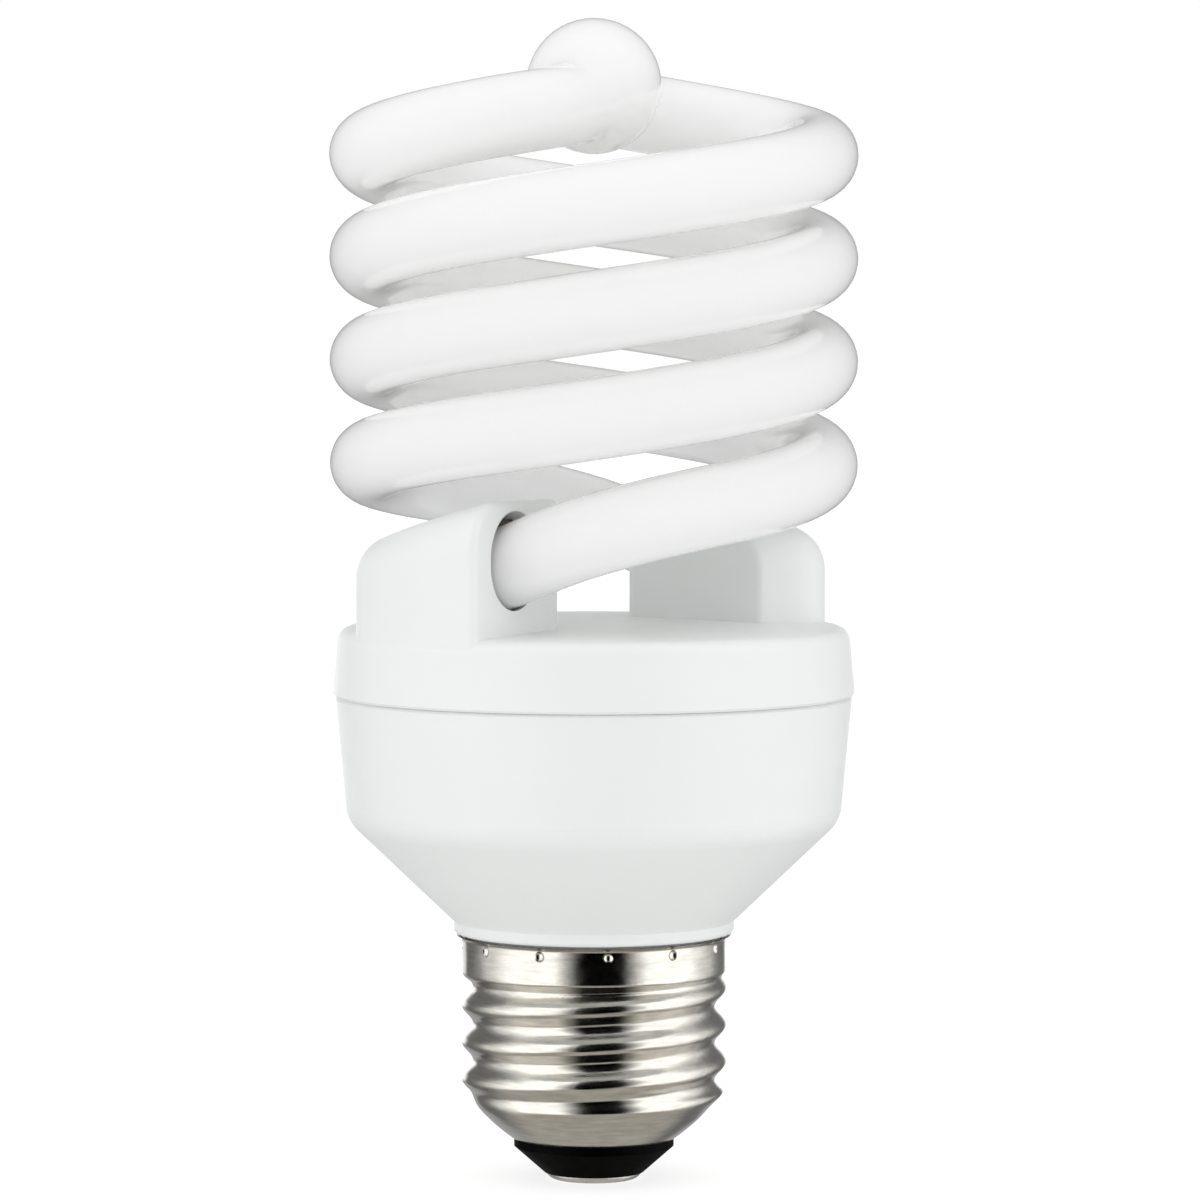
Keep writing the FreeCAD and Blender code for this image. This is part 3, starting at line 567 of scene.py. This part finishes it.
def pale_paper():
    """Pale paper: white to the eye, keeps the bulb's shadow and throws light back up at it.

    The eye sees a glow and a little of the light that falls on the paper, which add up to white.
    """
    bright, seen_shade, seen_glow = 0.9, 0.3, 0.78
    material = bpy.data.materials.new("pale_paper_floor")
    tree = clear_nodes(material)
    seen = add_node(tree, "ShaderNodeLightPath").outputs["Is Camera Ray"]
    shade = add_node(tree, "ShaderNodeMapRange", {"Value": seen, "To Min": bright, "To Max": seen_shade})
    paper = add_node(tree, "ShaderNodeBsdfDiffuse", {"Color": shade.outputs["Result"]})
    glow = add_node(tree, "ShaderNodeMath", {0: seen, 1: seen_glow}, operation="MULTIPLY")
    white = add_node(tree, "ShaderNodeEmission", {"Color": WHITE, "Strength": glow.outputs["Value"]})
    both = add_node(tree, "ShaderNodeAddShader", {0: white.outputs["Emission"], 1: paper.outputs["BSDF"]})
    add_node(tree, "ShaderNodeOutputMaterial", {"Surface": both.outputs["Shader"]})
    return material


class BULB_OT_stage(bpy.types.Operator):
    """Sets the floor, the room with its panels, the soft lamps and the camera"""

    bl_idname = "bulb.stage"
    bl_label = "Studio"

    floor_width = 6000 * MM
    sensor_width = 36.0
    lamp_turns = (radians(-40), radians(40))
    lamp_tilt = radians(15)
    lamp_distance = 750 * MM
    lamp_width = 620 * MM
    lamp_height = 900 * MM
    # Brightness of the side panels by their turn from the camera's side, in degrees
    panels = (
        (20, 0.0), (31, 0.4), (42, 1.0), (86, 1.0), (105, 0.58),
        (114, 0.48), (125, 0.23), (137, 0.12), (150, 0.1),
    )
    # Brightness of the white sheet behind the bulb, by the same turn
    backdrop = ((150, 0.0), (162, 0.7))
    # Shares of the sheet, the ground and the ceiling by height, from 0 straight down to 1 straight up
    backdrop_heights = ((0.4, 0.3), (0.46, 1.0), (0.53, 1.0), (0.6, 0.0))
    ground_heights = ((0.1, 1.0), (0.2, 0.0))
    ceiling_heights = ((0.97, 0.0), (0.995, 1.0))
    ground = (0.28, 0.27, 0.25, 1)
    ceiling = (0.5, 0.5, 0.5, 1)

    def execute(self, context):
        scene = context.scene
        studio = scene.bulb_studio
        self.add_floor()
        self.set_world(scene, studio)
        for turn in self.lamp_turns:
            self.add_lamp(scene, studio, turn)
        self.add_camera(scene, studio)
        scene.view_settings.view_transform = "Standard"
        return {"FINISHED"}

    def add_floor(self):
        """A square of paper under the bulb, which the ground of the room stands for in mirrors."""
        bm = bmesh.new()
        bmesh.ops.create_grid(bm, x_segments=1, y_segments=1, size=self.floor_width / 2)
        bmesh.ops.translate(bm, vec=UP * cad_bounds[0].z, verts=bm.verts)
        floor = add_mesh("floor", bm, pale_paper())
        floor.visible_glossy = False

    def set_world(self, scene, studio):
        """A room that is white to the eye, lights dull faces evenly and has its own look in mirrors.

        Satin metal and plastic mirror the panels. The sharp gloss of clear glass mirrors a dim room,
        which draws thin rims along the tube.
        """
        world = bpy.data.worlds.new("white_room")
        tree = clear_nodes(world)
        path = add_node(tree, "ShaderNodeLightPath")
        seen = add_node(tree, "ShaderNodeMath", {
            0: path.outputs["Is Camera Ray"], 1: path.outputs["Is Transmission Ray"]}, operation="MAXIMUM")
        strength = add_node(tree, "ShaderNodeMapRange", {
            "Value": seen.outputs["Value"], "To Min": studio.room_light, "To Max": 1.0})
        even = add_node(tree, "ShaderNodeBackground", {
            "Color": WHITE, "Strength": strength.outputs["Result"]})
        satin = add_node(tree, "ShaderNodeBackground", {
            "Color": self.mirrored(tree, studio), "Strength": studio.panel_light})
        sharp = add_node(tree, "ShaderNodeBackground", {"Color": WHITE, "Strength": studio.gloss_light})
        gloss = add_node(tree, "ShaderNodeMixShader", {
            0: path.outputs["Is Singular Ray"],
            1: satin.outputs["Background"],
            2: sharp.outputs["Background"],
        })
        room = add_node(tree, "ShaderNodeMixShader", {
            0: path.outputs["Is Glossy Ray"],
            1: even.outputs["Background"],
            2: gloss.outputs["Shader"],
        })
        add_node(tree, "ShaderNodeOutputWorld", {"Surface": room.outputs["Shader"]})
        scene.world = world

    def mirrored(self, tree, studio):
        """What satin faces mirror: panels at both sides, a sheet behind, the ground and the ceiling."""
        way = add_node(tree, "ShaderNodeTexCoord").outputs["Generated"]
        turned = add_node(tree, "ShaderNodeVectorRotate", {
            "Vector": way, "Angle": -studio.camera_turn - studio.panel_turn}, rotation_type="Z_AXIS")
        parts = add_node(tree, "ShaderNodeSeparateXYZ", {"Vector": turned.outputs["Vector"]})
        front = add_node(tree, "ShaderNodeMath", {0: parts.outputs["Y"], 1: -1.0}, operation="MULTIPLY")
        side = add_node(tree, "ShaderNodeMath", {0: parts.outputs["X"]}, operation="ABSOLUTE")
        turn = add_node(tree, "ShaderNodeMath", {
            0: side.outputs["Value"], 1: front.outputs["Value"]}, operation="ARCTAN2")
        half_turns = add_node(tree, "ShaderNodeMath", {0: turn.outputs["Value"], 1: pi}, operation="DIVIDE")
        height = add_node(tree, "ShaderNodeMapRange", {
            "Value": parts.outputs["Z"], "From Min": -1.0, "From Max": 1.0})
        panels = self.graded(tree, half_turns.outputs["Value"], self.panels, full=180)
        backdrop = self.graded(tree, half_turns.outputs["Value"], self.backdrop, full=180)
        sheet = add_node(tree, "ShaderNodeMix", {
            "Factor": self.graded(tree, height.outputs["Result"], self.backdrop_heights),
            MIX_FROM: BLACK,
            MIX_TO: backdrop,
        }, data_type="RGBA")
        walls = add_node(tree, "ShaderNodeMix", {
            "Factor": 1.0,
            MIX_FROM: panels,
            MIX_TO: sheet.outputs[MIX_RESULT],
        }, data_type="RGBA", blend_type="LIGHTEN")
        grounded = add_node(tree, "ShaderNodeMix", {
            "Factor": self.graded(tree, height.outputs["Result"], self.ground_heights),
            MIX_FROM: walls.outputs[MIX_RESULT],
            MIX_TO: self.ground,
        }, data_type="RGBA")
        closed = add_node(tree, "ShaderNodeMix", {
            "Factor": self.graded(tree, height.outputs["Result"], self.ceiling_heights),
            MIX_FROM: grounded.outputs[MIX_RESULT],
            MIX_TO: self.ceiling,
        }, data_type="RGBA")
        return closed.outputs[MIX_RESULT]

    @staticmethod
    def graded(tree, value, stops, full=1):
        """Grey levels between the stops, each a place on a scale up to full and a level."""
        ramp = add_node(tree, "ShaderNodeValToRGB", {"Fac": value})
        elements = ramp.color_ramp.elements
        while len(elements) < len(stops):
            elements.new(1.0)
        for element, (place, level) in zip(elements, stops):
            element.position = place / full
            element.color = (level, level, level, 1)
        return ramp.outputs["Color"]

    def add_lamp(self, scene, studio, turn):
        """A soft lamp that faces the bulb at a turn from the camera's side."""
        light = bpy.data.lights.new("softbox", "AREA")
        light.shape = "RECTANGLE"
        light.size = self.lamp_width
        light.size_y = self.lamp_height
        light.energy = studio.lamp_power
        lamp = bpy.data.objects.new("softbox", light)
        middle = UP * studio.aim_height
        away = outward(studio.camera_turn + turn, self.lamp_tilt) * self.lamp_distance
        lamp.matrix_world = facing(middle + away, middle)
        lamp.visible_glossy = False
        scene.collection.objects.link(lamp)

    def add_camera(self, scene, studio):
        """A long lens that looks at the bulb from a little above its middle."""
        lens = bpy.data.cameras.new("camera")
        lens.lens = studio.camera_lens
        lens.sensor_width = self.sensor_width
        camera = bpy.data.objects.new("camera", lens)
        place = outward(studio.camera_turn) * studio.camera_distance + UP * studio.camera_height
        aim = outward(studio.camera_turn + pi / 2) * studio.aim_side + UP * studio.aim_height
        camera.matrix_world = facing(place, aim)
        scene.collection.objects.link(camera)
        scene.camera = camera


# Add-on


class BULB_PT_panel(bpy.types.Panel):
    """The steps that dress the bulb, and their settings"""

    bl_label = "Spiral bulb"
    bl_idname = "BULB_PT_panel"
    bl_space_type = "VIEW_3D"
    bl_region_type = "UI"
    bl_category = "Bulb"

    def draw(self, context):
        for operator in OPERATORS:
            self.layout.operator(operator.bl_idname)
        for group, kind in GROUPS.items():
            column = self.layout.column()
            for name in kind.__annotations__:
                column.prop(getattr(context.scene, group), name)


OPERATORS = (BULB_OT_glass_tube, BULB_OT_shells, BULB_OT_screw_base, BULB_OT_ballast, BULB_OT_stage)
GROUPS = {"bulb_tube": BulbTube, "bulb_colours": BulbColours, "bulb_studio": BulbStudio}


def register():
    for kind in (*GROUPS.values(), *OPERATORS, BULB_PT_panel):
        bpy.utils.register_class(kind)
    for name, kind in GROUPS.items():
        setattr(bpy.types.Scene, name, bpy.props.PointerProperty(type=kind))


def unregister():
    for name in GROUPS:
        delattr(bpy.types.Scene, name)
    for kind in (BULB_PT_panel, *reversed(OPERATORS), *GROUPS.values()):
        bpy.utils.unregister_class(kind)


def main():
    """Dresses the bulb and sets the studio."""
    register()
    bpy.ops.bulb.glass_tube()
    bpy.ops.bulb.shells()
    bpy.ops.bulb.screw_base()
    bpy.ops.bulb.ballast()
    bpy.ops.bulb.stage()


if __name__ == "__main__":
    main()
